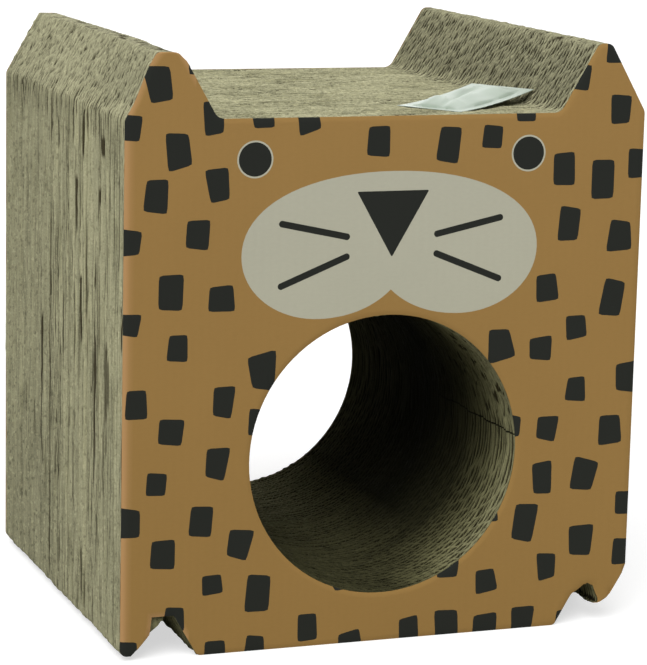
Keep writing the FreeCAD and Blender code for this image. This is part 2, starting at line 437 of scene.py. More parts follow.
class Die:
    """What all boards share: the die-cut face, its cut edges and the wear."""

    def __init__(self, boards):
        self.boards = boards
        self.face = die_cut_face()
        self.line = DieLine(self.face)
        self.wear = Wear(boards, deck_height(self.face))
        self.cover_rims = (boards.rim, boards.second_rim)

    def face_rim(self, distance):
        """1 at the cut edge of a cover's face, down to 0 at the inner edge of its second rim."""
        return 1 - np.clip(distance / sum(self.cover_rims), 0, 1)

    def face_roll(self, distance):
        """How far a cover's outer face is pressed in at a distance from its cut edge."""
        knots = (0, self.boards.rim, sum(self.cover_rims))
        return np.interp(distance, knots, [self.boards.face_roll * left for left in ROLL_SHARES])


def columns(boards, ply):
    """Where a ply is cut into columns, the liners more finely in the ears."""
    if ply == MEDIUM:
        return np.arange(boards.flute_column - HALF_WIDTH, HALF_WIDTH - MERGE, boards.flute_column)
    wide = np.arange(0, boards.ear_zone, boards.liner_column)
    fine = np.arange(boards.ear_zone, HALF_WIDTH - MERGE, boards.ear_column)
    half = np.concatenate((wide, fine))
    return np.concatenate((-half[1:], half))


def ruled(face, name, boards, ply, rims):
    """Copy of the die-cut face with rims along its edges, columns, and rows in its outer parts.

    One rim is a sheet's, with rows at its sides only. Two are a cover's, with rows up to the ears'
    inner ends.
    """
    piece = duplicate(face, name)
    edit(piece)
    for width in rims:
        bpy.ops.mesh.inset(thickness=width, use_boundary=True)
    for x in columns(boards, ply):
        bpy.ops.mesh.select_all(action="SELECT")
        bpy.ops.mesh.bisect(plane_co=(float(x), 0, 0), plane_no=(1, 0, 0))
    inner = HALF_WIDTH - boards.rim if len(rims) == 1 else boards.ear_zone
    for z in np.arange(boards.side_row, EAR_TIP, boards.side_row):
        select(piece, "FACE", lambda part: abs(part.calc_center_median().x) > inner)
        bpy.ops.mesh.bisect(plane_co=(0, 0, float(z)), plane_no=(0, 0, 1))
    return done(piece)


class Blank:
    """Flat board as it is before its flutes and its unevenness, to be copied for each sheet."""

    def __init__(self, die, name, plies, rims):
        self.die = die
        parts = []
        for ply in plies:
            part = ruled(die.face, f"{name}_ply", die.boards, ply, rims)
            thicken(part, die.boards.medium if ply == MEDIUM else die.boards.liner)
            mark(part, "ply", np.full(len(part.data.vertices), ply))
            parts.append(part)
        self.piece = smooth(joined(name, *parts), BOARD_SMOOTHING)
        self.places = places_of(self.piece)
        marks = np.empty(len(self.places))
        self.piece.data.attributes["ply"].data.foreach_get("value", marks)
        self.ply = marks.round().astype(int)
        self.distance, self.outward = die.line.nearest(self.places)
        self.edge = 1 - np.clip(self.distance / die.boards.rim, 0, 1)
        # Painted shade deep in the flutes, away from the cut edges
        mark(self.piece, "hollow", 1 - self.edge)

    def copy(self, name, places):
        piece = set_places(duplicate(self.piece, name), places)
        piece.data.attributes.remove(piece.data.attributes["ply"])
        return piece

    def lay(self, front, thickness, pitch, draw, depths=SHUT, front_roll=False, rear_roll=False):
        """Places of the plies between the board's front and its rear face."""
        boards, places = self.die.boards, self.places.copy()
        roll = self.die.face_roll(self.distance)
        low = front + roll * front_roll
        high = front + thickness - roll * rear_roll
        wave = flute_wave(places, pitch, boards, draw, depths)
        inset = boards.liner + boards.medium / 2
        middle = (low + high) / 2 + ((high - low) / 2 - inset) * wave
        levels = {FRONT_LINER: low + boards.liner / 2, MEDIUM: middle, REAR_LINER: high - boards.liner / 2}
        for ply, level in levels.items():
            here = self.ply == ply
            places[here, 1] += level[here]
        return places


def open_flutes(node, front):
    """How deep a sheet's flute is open at its left and at its right side, as its solid says."""
    places = places_of(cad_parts[node])
    between = (places[:, 1] > front + 0.05 * SHEET) & (places[:, 1] < front + 0.95 * SHEET)
    depths = {}
    for side in (-1, 1):
        reach = side * places[between, 0]
        reach = reach[(reach > HALF_WIDTH - SIDE_STRIP) & (places[between, 2] < 0.5 * EAR_TIP)]
        depths[side] = HALF_WIDTH - reach.min() if len(reach) else 0
    return depths


def flute_wave(places, pitch, boards, draw, depths):
    """How far the medium lies between its liners, from -1 to 1, with a fold that shuts each side."""
    x = places[:, 0]
    stray = Ripple.drawn(draw, FLUTE_STRAY)(places)
    wave = np.sin(TAU * x / pitch + draw.uniform(0, TAU) + 0.7 * stray)
    for side in (-1, 1):
        depth = HALF_WIDTH - side * x
        seal = depths[side] * (1 + 0.35 * Ripple.drawn(draw, FOLD_STRAY)(places))
        glued = draw.choice((-1, 1))
        fold = glued * (1 - 2 * np.clip((depth - seal) / boards.flute_column, 0, 1))
        inside = np.clip((depth - seal - boards.flute_column) / (pitch / 2), 0, 1)
        wave = fold * (1 - inside) + wave * inside
    return wave


class Wear:
    """How use has bent, rubbed, crushed, split and soiled the boards, and where shade is painted on them."""

    # Wave lengths of each kind of unevenness along X, Y and Z, the last two drawn for each board
    RIPPLES = {
        "leaning": mm(26, 21, 26),
        "patches": mm(70, 60, 70),
        "bands": mm(90, 16, 220),
        "grain": mm(9, 5, 14),
        "crumple": mm(14, 30, 12),
        "side_patches": mm(EVEN, 8, 90),
        "ear_patches": mm(24, 9, 16),
        "pits": mm(6, 5, 7),
    }
    OWN_LEAN = mm(7, EVEN, 10)
    DRIFT = mm(30, EVEN, 60)

    # Crushed corners: a place on the line that they are pressed back to, the way beyond it,
    # how much of what lies beyond is pressed back, how far that reaches from the place, and how
    # far behind the front face it ends, which can be far behind the rear
    CRUSHED_CORNERS = (
        (mm(170, 28.5), (0.834, -0.552), 0.95, *mm(48, 75)),
        (mm(160, 15.4), (0.452, -0.892), 0.9, *mm(27, 70)),
        (mm(-162, 9.5), (0.735, -0.677), 0.9, *mm(17, 60)),
        (mm(-150, 382.8), (-0.1, 0.995), 0.85, *mm(40, 110)),
        (mm(-140, 380.5), (0.5, 0.866), 0.7, *mm(30, 110)),
        (mm(-150, 383.3), (0, 1), 0.9, *mm(40, 1600)),
        (mm(-157, 379.5), (-0.55, 0.835), 0.85, *mm(22, 1600)),
    )
    # Most that a crushed corner is crumpled
    CRUMPLED = 6 * MM
    # Corners of the notches: place, how far it is pulled, radius, and how far behind the front
    # face that starts and ends
    PULLED_CORNERS = (
        (mm(155, 27), mm(-3, -2), *mm(9, -5, 50)),
        (mm(140, 27.5), mm(5, -1), *mm(9, -5, 50)),
        (mm(-154.5, 27), mm(7, -4), *mm(10, 3.5, 100)),
    )
    # Splits between boards at the left side: place from front to rear, lower end, upper end, width
    SPLITS = (
        mm(-63, 311, 340, 1.5),
        mm(-58, 268, 312, 0.5),
        mm(-42, 262, 290, 1.4),
        mm(-104, 313, 323, 1.6),
        mm(-96, 285, 296, 0.7),
        mm(5, 309, 327, 1.2),
        mm(23, 306, 331, 0.9),
        mm(-20, 150, 235, 0.6),
        mm(-88, 110, 200, 0.5),
        mm(48, 90, 190, 0.7),
        mm(90, 180, 300, 0.6),
        mm(-149.5, 192, 238, 1.2),
        mm(-149.5, 262, 284, 0.8),
        mm(-52, 190, 232, 1.1),
    )
    # Small splits: how many, behind which sheets, and the least and the most of their lower
    # end, their length and their width
    SMALL_SPLITS = 26
    SMALL_SHEETS = np.arange(2, SHEET_COUNT - 8)
    SMALL_LOW, SMALL_LENGTH, SMALL_WIDTH = mm(6, 200), mm(16, 60), mm(0.12, 0.4)
    # How far from a split its boards lean, and how far from it shade is painted dark
    SPLIT_REACH, SPLIT_SHADE = mm(5, 0.8)

    # Strips along the sides that are rubbed, and whose cut edges are ragged
    RUBBED_STRIP, RAGGED_STRIP = mm(6, 2)
    # How far below the deck an ear's foot begins, and how far painted shade reaches from it
    EAR_FOOT, SOILED_FOOT = mm(3, 10)
    # Least and most that a cut edge leans, what the left ear leans more, and what its front bulges
    LEAN_LIMITS = mm(-1.6, 3.4)
    SLOPE_LEAN, EAR_BULGE = mm(0.5, 3.8)

    # Where wear and painted shade begin and are complete, outwards from the middle
    LEFT_SLOPE, RIGHT_SLOPE, BULGED = mm(138, 148), mm(110, 118), mm(142, 154)
    # The same forwards from the middle
    SPARED, NEAR_FRONT = mm(10, 80), mm(-20, 100)
    # The same to the rear of the middle
    RUBBED_REAR, SOILED_REAR = mm(20, 90), mm(-60, 70)
    # The same to the rear of the front face, and of the rear face
    BULGE_END, UPRIGHT = mm(20, 130), mm(-16, -4)
    # The same in height above the ground
    RAGGED_FOOT, RUBBED_LOW, SOILED_LOW = mm(6, 18), mm(60, 150), mm(60, 200)
    # The same in height above the deck
    SIDE_TOP, RUBBED_TOP = mm(-12, 0), mm(-30, -10)
    SLOPE_FOOT, SLOPE_START, SOILED_START = mm(-6, 6), mm(0, 6), mm(-2, 8)
    BULGE_RISE, LOW_SLOPE, SPARED_TOP = mm(2, 32), mm(4, 20), mm(20, 36)
    RIDGE, SLOPE_END = mm(33, 41), mm(34, 40)
    # Patch in the tunnel: its inner and outer end, its rear, its lower and its upper end
    PATCH_INNER, PATCH_OUTER, PATCH_REAR = mm(40, 60), 95 * MM, mm(-80, -40)
    PATCH_LOW, PATCH_HIGH = mm(128, 150), mm(200, 216)

    def __init__(self, boards, deck):
        self.boards = boards
        self.deck = deck
        for step, (name, lengths) in enumerate(self.RIPPLES.items()):
            setattr(self, name, Ripple(boards.seed + step, lengths))
        draw = np.random.default_rng(boards.seed + len(self.RIPPLES))
        self.splits = [*self.SPLITS, *self.small_splits(draw)]

    def small_splits(self, draw):
        """Splits between other boards, most of them in the lower half."""
        for sheet in draw.choice(self.SMALL_SHEETS, self.SMALL_SPLITS, replace=False):
            low = draw.uniform(*self.SMALL_LOW)
            high = low + draw.uniform(*self.SMALL_LENGTH)
            yield FRONT + COVER + sheet * SHEET, low, high, draw.uniform(*self.SMALL_WIDTH)

    def open_splits(self, places):
        """For each split, how far behind it each place is, how open it is there, and its width."""
        x, y, z = places.T
        for split_y, low, high, width in self.splits:
            along = np.clip(1 - np.abs(2 * z - low - high) / (high - low), 0, 1)
            yield y - split_y, np.sqrt(along) * (x < SIDE_STRIP - HALF_WIDTH), width

    def on_deck(self, places):
        """1 on the deck between the ears, 0 elsewhere."""
        return (places[:, 2] > self.deck - self.EAR_FOOT) & (np.abs(places[:, 0]) < self.boards.ear_zone)

    def crushed(self, places):
        """Share, 0 to 1, by which the cut edges are crushed shut at each place."""
        x, y, z = places.T
        above = z - self.deck
        spared = ease(-y, *self.SPARED) * (1 - ease(above, *self.SPARED_TOP))
        slope = ease(-x, *self.LEFT_SLOPE) * ease(above, *self.SLOPE_FOOT) * (1 - 0.9 * spared)
        slope *= 0.7 + 0.3 * ease(self.ear_patches(places), -0.6, 0.3)
        patch = ease(x, *self.PATCH_INNER) * (x < self.PATCH_OUTER) * (1 - ease(y, *self.PATCH_REAR))
        patch *= ease(z, *self.PATCH_LOW) * (1 - ease(z, *self.PATCH_HIGH))
        return np.clip(np.maximum.reduce((slope, 0.7 * ease(above, *self.RIDGE), patch)), 0, 1)

    def rubbed(self, places):
        """Share, 0 to 1, by which the flutes at the sides are rubbed shut."""
        x, y, z = places.T
        at_side = (np.abs(x) > HALF_WIDTH - self.RUBBED_STRIP) * (1 - ease(z - self.deck, *self.RUBBED_TOP))
        rubbed = 0.75 * ease(y, *self.RUBBED_REAR) + 0.1 * (1 - ease(z, *self.RUBBED_LOW))
        return at_side * np.clip(rubbed + ease(self.side_patches(places), -0.5, 0.7), 0.08, 0.97)

    def lean(self, places, draw):
        """How far a cut edge leans to the rear at each place."""
        x, y, z = places.T
        boards, crushed, leaning = self.boards, self.crushed(places), self.leaning(places)
        in_ear = z > self.deck - self.EAR_FOOT
        calm = 1 - 0.7 * self.on_deck(places)
        varied = 1 + (0.9 * leaning + 0.8 * self.patches(places)) * calm
        lean = boards.lean * varied * (1 - 0.6 * ease(x, *self.RIGHT_SLOPE) * in_ear)
        lean += boards.crushed_lean * (crushed + 0.3 * self.rubbed(places)) * (1 + 0.25 * leaning)
        lean += boards.own_lean * Ripple.drawn(draw, self.OWN_LEAN)(places) * calm
        lean += self.SLOPE_LEAN * ease(-x, *self.LEFT_SLOPE) * in_ear * (1 - crushed)
        for apart, along, width in self.open_splits(places):
            lean += np.sign(apart) * width * along * np.exp(-np.abs(apart) / self.SPLIT_REACH)
        return np.clip(lean, *self.LEAN_LIMITS) * (1 - ease(y - REAR, *self.UPRIGHT))

    def hollow(self, places, blank):
        """Share, 0 to 1, of painted shade at each place deep in an open flute, a pit or a split."""
        _, y, z = places.T
        crushed, pits = self.crushed(places), self.pits(places)
        hollow = (1 - blank.edge) * (1 - 0.25 * crushed) * (1 - 0.95 * self.on_deck(places))
        hollow *= 1 - 0.8 * self.rubbed(places)
        hollow *= 1 - 0.6 * ease(z - self.deck, *self.SLOPE_START) * ease(pits, 0.2, 0.9)
        near_front = 0.35 + 0.55 * ease(-y, *self.NEAR_FRONT)
        # Painted shade in the pits of crushed edges, darker near the front
        hollow = np.maximum(hollow, crushed * near_front * ease(-pits, 0.75, 1.3))
        for apart, along, width in self.open_splits(places):
            near = np.abs(apart) < 1.3 * width + self.SPLIT_SHADE
            hollow = np.maximum(hollow, min(width / MM, 1) * near * np.clip(2 * along, 0, 1))
        return hollow

    def soil(self, places):
        """Share, 0 to 1, by which each place is darkened: painted shade on the sides and at the ears' feet,
        soil and painted shade on the ears.
        """
        x, y, z = places.T
        out, above = np.abs(x), z - self.deck
        # Painted shade on the sides, darker towards the rear and low down
        side = 0.2 + 0.36 * ease(y, *self.SOILED_REAR) + 0.22 * (1 - ease(z, *self.SOILED_LOW))
        # Soil and painted shade on the ears
        ear = (0.5 + 0.1 * (x > 0)) * ease(above, *self.SOILED_START) * (out > self.boards.ear_zone)
        # Painted shade in the fold at an ear's foot
        foot = np.abs(out - self.boards.ear_zone - self.EAR_FOOT) + np.abs(above)
        ear += 0.4 * np.exp(-foot / self.SOILED_FOOT)
        return np.maximum((out > HALF_WIDTH - SIDE_STRIP) * side, ear)

    def in_and_out(self, places, draw):
        """How far a cut edge lies outside the die line, for one board."""
        x, _, z = places.T
        above = z - self.deck
        side = (np.abs(x) > HALF_WIDTH - self.RAGGED_STRIP) * (1 - ease(above, *self.SIDE_TOP))
        own = draw.normal(0, 0.5) * (1 + 2.2 * side * ease(z, *self.RAGGED_FOOT))
        drift = Ripple.drawn(draw, self.DRIFT)(places)
        uneven = own + 0.6 * drift + 0.8 * self.bands(places) + 0.6 * self.grain(places)
        uneven *= (1 - 0.6 * ease(above, *self.LOW_SLOPE)) * (1 - 0.85 * self.on_deck(places))
        slope = ease(above, *self.SLOPE_START) * (1 - 0.75 * ease(above, *self.SLOPE_END))
        crumbled = slope * (1 + 1.2 * self.crushed(places)) * self.pits(places)
        return self.boards.ragged * (uneven + crumbled)

    def crush(self, places):
        """Press the crushed corners back, pull the notches' corners, and bulge the left ear."""
        behind = places[:, 1] - FRONT
        for place, way, pressed, radius, depth in self.CRUSHED_CORNERS:
            apart = places[:, [0, 2]] - place
            near = 1 - ease(np.linalg.norm(apart, axis=1), 0.8 * radius, radius)
            reach = near * (1 - ease(behind, 0.2 * depth, depth))
            beyond = np.maximum(apart @ way, 0)
            crumple = self.crumple(places) * np.minimum(beyond, self.CRUMPLED) * reach
            places[:, [0, 2]] -= (pressed * beyond * reach)[:, None] * way
            places[:, 1] += 0.25 * np.abs(crumple)
            places[:, 2] += 0.12 * crumple
        for place, pull, radius, start, end in self.PULLED_CORNERS:
            apart = np.linalg.norm(places[:, [0, 2]] - place, axis=1)
            reach = (1 - ease(apart, 0, radius)) * (1 - ease(behind, 0.3 * end, end)) * (behind > start)
            places[:, [0, 2]] += reach[:, None] * pull
        bulge = ease(places[:, 2] - self.deck, *self.BULGE_RISE) * ease(-places[:, 0], *self.BULGED)
        places[:, 0] -= self.EAR_BULGE * bulge * (1 - ease(behind, *self.BULGE_END))
        return places

    def worn(self, places, blank, draw, leaning=1):
        """Places of a board's vertices after the die, the glue and some use."""
        outward = blank.outward * (blank.edge * self.in_and_out(places, draw))[:, None]
        places[:, 1] += leaning * blank.edge * self.lean(places, draw)
        places[:, [0, 2]] += outward
        places = self.crush(places)
        places[:, 2] = np.maximum(places[:, 2], 0)
        return places


# Prints on the front


# Depth of the prisms that cut the prints out of the face, and their numbers of sides
PRISM_DEPTH = 10 * MM
DISC_SIDES, SMALL_SIDES = 64, 32
NOSE_CORNER = 1.2 * MM
# Whiskers' outer and inner ends, as shares of the muzzle's half width and of its height
WHISKER_REACH_SHARES = (0.757, 0.285)
UPPER_WHISKER_SHARES = (0.61, 0.5)
LOWER_WHISKER_SHARES = (0.225, 0.43)
UPPER_WHISKER_LIFT = 5 * MM
# How often a spot's place is drawn, and how much the height between two spots counts as a gap
SPOT_TRIES = 9000
SPOT_HEIGHT_SHARE = 0.82
FAR_AWAY = (1, 1)
# How clear of the muzzle and of an eye the middles of the spots stay
CLEAR_OF_MUZZLE, CLEAR_OF_EYE = mm(13, 16)
# Corner without spots: its width, its lower and its upper end
PLAIN_WIDTH, PLAIN_LOW, PLAIN_HIGH = mm(20, 22, 86)
# Notch that is crushed, and how clear of it the spots stay
CRUSHED_NOTCH, CLEAR_OF_NOTCH = mm(150, 22), 27 * MM
# A spot's least and most half width, and its height as a share of its width
SPOT_HALF_WIDTH, SPOT_SHARES = mm(6.4, 8.6), (0.95, 1.6)
# Usual taper, skew and lean of a spot, and the power that makes it four-sided
SPOT_UNEVENNESS = (0.08, 0.07, math.radians(5))
SQUARENESS = 11


def upright_prism(name, sides):
    """Prism of unit radius along Y, across the front face."""
    quarter = math.radians(90)
    bpy.ops.mesh.primitive_cylinder_add(
        vertices=sides, radius=1, depth=PRISM_DEPTH, rotation=(quarter, 0, 0)
    )
    piece = bpy.context.active_object
    piece.name = name
    bpy.ops.object.transform_apply(rotation=True)
    return piece


def disc(name, x, z, radius):
    piece = upright_prism(name, DISC_SIDES)
    places = places_of(piece)
    places[:, [0, 2]] = places[:, [0, 2]] * radius + (x, z)
    return set_places(piece, places)


def whisker(start, end, width):
    """Bar with round ends from start to end."""
    piece = upright_prism("whisker", SMALL_SIDES)
    places = places_of(piece)
    start, end = np.array(start), np.array(end)
    along = (end - start) / np.linalg.norm(end - start)
    across = np.array((-along[1], along[0]))
    half = np.linalg.norm(end - start) / 2 - width / 2
    reach = places[:, 0] * width / 2 + np.sign(places[:, 0].round(6)) * half
    flat = (start + end) / 2 + reach[:, None] * along + (places[:, 2] * width / 2)[:, None] * across
    places[:, [0, 2]] = flat
    return set_places(piece, places)


def nose(sizes):
    """Triangle that points down, with slightly rounded corners."""
    piece = upright_prism("nose", 3)
    x = sizes.shift
    corners = np.array((
        (x + sizes.nose_half, sizes.nose_top), (x, sizes.nose_tip), (x - sizes.nose_half, sizes.nose_top)
    ))
    places = places_of(piece)
    thirds = np.arctan2(places[:, 0], places[:, 2]) / (TAU / 3)
    places[:, [0, 2]] = corners[thirds.round().astype(int)]
    edit(set_places(piece, places))
    select(piece, "EDGE", lambda edge: abs(edge.verts[0].co.y - edge.verts[1].co.y) > PRISM_DEPTH / 2)
    bpy.ops.mesh.bevel(offset=NOSE_CORNER, segments=3)
    return done(piece)


def muzzle(sizes):
    """Wide rounded shape with two lobes below and a cleft between them."""
    curve = bpy.data.curves.new("muzzle", "CURVE")
    curve.dimensions = "2D"
    curve.fill_mode = "BOTH"
    curve.resolution_u = 20
    curve.extrude = PRISM_DEPTH / 2
    half, lobe = sizes.muzzle_half, sizes.lobe_place
    # From the top round the right side to the cleft: place, handle before it and handle after it
    right = [
        ((0, sizes.muzzle_top), (-0.62 * half, 0), (0.62 * half, 0)),
        ((half, sizes.muzzle_side), (0, 0.3 * half), (0, -0.24 * half)),
        ((lobe, sizes.lobe_low), (0.58 * lobe, 0), (-0.5 * lobe, 0)),
        ((0, sizes.cleft), (0.17 * lobe, -0.17 * lobe), (-0.17 * lobe, -0.17 * lobe)),
    ]
    left = [
        ((-x, z), (-after[0], after[1]), (-before[0], before[1]))
        for (x, z), before, after in right[2:0:-1]
    ]
    spline = curve.splines.new("BEZIER")
    spline.use_cyclic_u = True
    spline.bezier_points.add(len(right + left) - 1)
    for point, ((x, z), before, after) in zip(spline.bezier_points, right + left):
        point.handle_left_type = point.handle_right_type = "FREE"
        point.co = (x, z, 0)
        point.handle_left = (x + before[0], z + before[1], 0)
        point.handle_right = (x + after[0], z + after[1], 0)
    piece = link(bpy.data.objects.new("muzzle", curve))
    piece.rotation_euler.x = math.radians(90)
    piece.location.x = sizes.shift
    pick(piece)
    bpy.ops.object.convert(target="MESH")
    bpy.ops.object.transform_apply(location=True, rotation=True)
    piece = bpy.context.active_object
    edit(piece)
    bpy.ops.mesh.remove_doubles(threshold=MERGE)
    return done(piece)


def spot_places(sizes):
    """Middles of the spots, by drawing places and keeping those far enough from the others."""
    draw = np.random.default_rng(sizes.seed)
    kept = []
    muzzle_height = sizes.muzzle_top - sizes.lobe_low
    muzzle_middle = np.array((sizes.shift, (sizes.muzzle_top + sizes.lobe_low) / 2))
    muzzle_half = np.array((sizes.muzzle_half, muzzle_height / 2)) + CLEAR_OF_MUZZLE
    eyes = [np.array((sizes.shift + side * sizes.eye_place, sizes.eye_height)) for side in (-1, 1)]
    for here in draw.uniform((-HALF_WIDTH, 0), (HALF_WIDTH, EAR_TIP), (SPOT_TRIES, 2)):
        apart = (np.array(kept or [FAR_AWAY]) - here) * (1, SPOT_HEIGHT_SHARE)
        off_spots = np.hypot(*apart.T).min() > sizes.spot_gap
        off_muzzle = (np.abs((here - muzzle_middle) / muzzle_half) ** 2.6).sum() > 1
        off_eyes = min(math.dist(here, eye) for eye in eyes) > sizes.eye_radius + CLEAR_OF_EYE
        in_plain = here[0] < PLAIN_WIDTH - HALF_WIDTH and PLAIN_LOW < here[1] < PLAIN_HIGH
        off_notch = math.dist(here, CRUSHED_NOTCH) >= CLEAR_OF_NOTCH
        if off_spots and off_muzzle and off_eyes and off_notch and not in_plain:
            kept.append(here)
    return kept


def spots(sizes):
    """Dark spots, each a rounded four-sided shape of its own."""
    draw = np.random.default_rng(sizes.seed + 1)
    model = upright_prism("spot", SMALL_SIDES)
    round_places = places_of(model)
    angle = np.arctan2(round_places[:, 2], round_places[:, 0])
    power = np.abs(np.cos(angle)) ** SQUARENESS + np.abs(np.sin(angle)) ** SQUARENESS
    radius = power ** (-1 / SQUARENESS)
    pieces = []
    for middle in spot_places(sizes):
        half_wide = draw.uniform(*SPOT_HALF_WIDTH)
        half_high = half_wide * draw.uniform(*SPOT_SHARES)
        taper, skew, lean = draw.normal(0, SPOT_UNEVENNESS)
        across, up = np.cos(angle) * radius, np.sin(angle) * radius
        flat_x = half_wide * across * (1 + taper * up)
        flat_z = half_high * up * (1 + skew * across)
        places = round_places.copy()
        places[:, 0] = middle[0] + flat_x * math.cos(lean) - flat_z * math.sin(lean)
        places[:, 2] = middle[1] + flat_x * math.sin(lean) + flat_z * math.cos(lean)
        pieces.append(set_places(duplicate(model, "spot_copy"), places))
    remove(model)
    return joined("spots", *pieces)


def black_stencil(sizes):
    """All that is printed black, as prisms through the face."""
    pieces = [spots(sizes), nose(sizes)]
    height = sizes.muzzle_top - sizes.lobe_low
    whiskers = ((UPPER_WHISKER_SHARES, UPPER_WHISKER_LIFT), (LOWER_WHISKER_SHARES, 0))
    for side in (-1, 1):
        pieces.append(disc("eye", sizes.shift + side * sizes.eye_place, sizes.eye_height, sizes.eye_radius))
        for rises, lift in whiskers:
            ends = [
                (sizes.shift + side * (sizes.muzzle_half * reach), sizes.lobe_low + rise * height + lift)
                for reach, rise in zip(WHISKER_REACH_SHARES, rises)
            ]
            pieces.append(whisker(*ends, sizes.whisker_width))
    return face_outwards(joined("black_stencil", *pieces))


def pale_stencil(sizes):
    """All that is printed pale, as prisms through the face."""
    pieces = [muzzle(sizes)]
    for side in (-1, 1):
        radius = sizes.eye_radius + sizes.eye_ring
        pieces.append(disc("eye_ring", sizes.shift + side * sizes.eye_place, sizes.eye_height, radius))
    return face_outwards(joined("pale_stencil", *pieces))


# Finishes


# How far beyond the tunnel's wall its shade reaches, and how far below the deck the deck's finish
TUNNEL_MARGIN, BELOW_DECK = mm(4, 2)
# Height under which the cover has no part of the tunnel
BELOW_TUNNEL = 20 * MM
# Painted shadow line of a crack along the tunnel's right wall: height, half width, how far it wanders, and
# its rear end
LINE_HEIGHT, LINE_HALF, LINE_WANDER, LINE_END = mm(129, 0.6, 5, -20)
# Shade low between the feet: its height, and how far from the sides it ends
NOTCH_SHADE, FOOT_WIDTH = mm(30, 19)
# Shade along the tunnel from front to rear, on its wall and on its ground: place and strength
WALL_SHADE = ((0, 0.4), (0.15, 0.77), (0.26, 0.95), (0.5, 1), (0.8, 0.94), (1, 0.88))
GROUND_SHADE = ((0, 0.9), (0.2, 0.9), (0.48, 0.78), (0.8, 0.4), (1, 0.3))
# Strip at the front's left edge that is worn pale and has painted light from the left, and how far from there
# the rim has it
WORN_STRIP, WORN_RIM = mm(9, 45)
# Radians in a metre of a wave texture of scale 1
WAVE_RADIANS = 20


def arithmetic(operation, turned=False):
    """Method that adds a Math node for an operator, turned where the socket is its second value."""

    def method(self, other=0.0):
        first, second = (other, self) if turned else (self, other)
        return self.finish.node("ShaderNodeMath", {"operation": operation}, {0: first, 1: second})

    return method


class Value:
    """A shader socket on which arithmetic adds Math nodes."""

    def __init__(self, finish, socket):
        self.finish, self.socket = finish, socket

    def output(self, name):
        """Another output of the same node."""
        return Value(self.finish, self.socket.node.outputs[name])

    __add__ = __radd__ = arithmetic("ADD")
    __mul__ = __rmul__ = arithmetic("MULTIPLY")
    __sub__ = arithmetic("SUBTRACT")
    __rsub__ = arithmetic("SUBTRACT", turned=True)
    __gt__ = arithmetic("GREATER_THAN")
    __lt__ = arithmetic("LESS_THAN")
    __abs__ = arithmetic("ABSOLUTE")


class Finish:
    """Nodes of one material or of the world."""

    def __init__(self, owner):
        self.owner = owner
        owner.use_nodes = True
        self.tree = owner.node_tree
        self.tree.nodes.clear()

    @classmethod
    def of_material(cls, name):
        return cls(bpy.data.materials.new(name))

    def node(self, kind, settings, sockets, output=0):
        """Add a node with its settings, then the values or links of its sockets."""
        node = self.tree.nodes.new(kind)
        for name, value in settings.items():
            if name == "stops":
                ramp = node.color_ramp
                while len(ramp.elements) < len(value):
                    ramp.elements.new(1)
                for element, (position, grey) in zip(ramp.elements, value):
                    element.position = position
                    element.color = (grey, grey, grey, 1)
            else:
                setattr(node, name, value)
        for name, value in sockets.items():
            if isinstance(value, Value):
                self.tree.links.new(value.socket, node.inputs[name])
            else:
                node.inputs[name].default_value = value
        return Value(self, node.outputs[output])

    def object_place(self, stretch=(1, 1, 1)):
        """Object coordinates, stretched along the axes."""
        place = self.node("ShaderNodeTexCoord", {}, {}, "Object")
        return self.node("ShaderNodeMapping", {"vector_type": "POINT"}, {"Vector": place, "Scale": stretch})

    def object_axes(self):
        """Object coordinates along X, Y and Z."""
        x = self.node("ShaderNodeSeparateXYZ", {}, {0: self.object_place()}, "X")
        return x, x.output("Y"), x.output("Z")

    def ramp(self, value, *stops):
        return self.node("ShaderNodeValToRGB", {"stops": stops}, {"Fac": value})

    def noise(self, scale, detail, stretch=(1, 1, 1)):
        """Noise from 0 to 1, its scale in patches per metre."""
        sockets = {"Vector": self.object_place(stretch), "Scale": scale, "Detail": detail}
        return self.node("ShaderNodeTexNoise", {}, sockets)

    def speckled(self, low, high, *noise):
        """Noise that is 0 up to its low value and 1 from its high one."""
        return self.ramp(self.noise(*noise), (low, 0), (high, 1))

    def attribute(self, name):
        return self.node("ShaderNodeAttribute", {"attribute_name": name}, {}, "Fac")

    def mix(self, mask, first, second):
        """First colour where the mask is 0, second where it is 1."""
        tint = [value if isinstance(value, Value) else (*value, 1) for value in (first, second)]
        return self.node("ShaderNodeMix", {"data_type": "RGBA"}, {0: mask, 6: tint[0], 7: tint[1]}, 2)

    def multiplied(self, base, mask, tint):
        """Colour that is multiplied by the tint where the mask is 1."""
        kind = {"data_type": "RGBA", "blend_type": "MULTIPLY"}
        return self.node("ShaderNodeMix", kind, {0: mask, 6: base, 7: (*tint, 1)}, 2)

    def bump(self, height, distance, strength=1.0):
        return self.node("ShaderNodeBump", {}, {"Height": height, "Distance": distance, "Strength": strength})

    def surface(self, sockets):
        return self.ends_in(self.node("ShaderNodeBsdfPrincipled", {}, sockets))

    def seen_as(self, seen, otherwise):
        """One shader for the camera, also through a mirror or a clear film, another for the rest."""
        camera = self.node("ShaderNodeLightPath", {}, {}, "Is Camera Ray")
        direct = (camera + camera.output("Is Glossy Ray") + camera.output("Is Transmission Ray")) > 0.5
        return self.node("ShaderNodeMixShader", {}, {0: direct, 1: otherwise, 2: seen})

    def ends_in(self, shader, kind="ShaderNodeOutputMaterial"):
        """Link the last shader to the output."""
        output = self.tree.nodes.new(kind)
        self.tree.links.new(shader.socket, output.inputs["Surface"])
        return self.owner


def shade(tint, factor):
    return tuple(min(value * factor, 1) for value in tint)


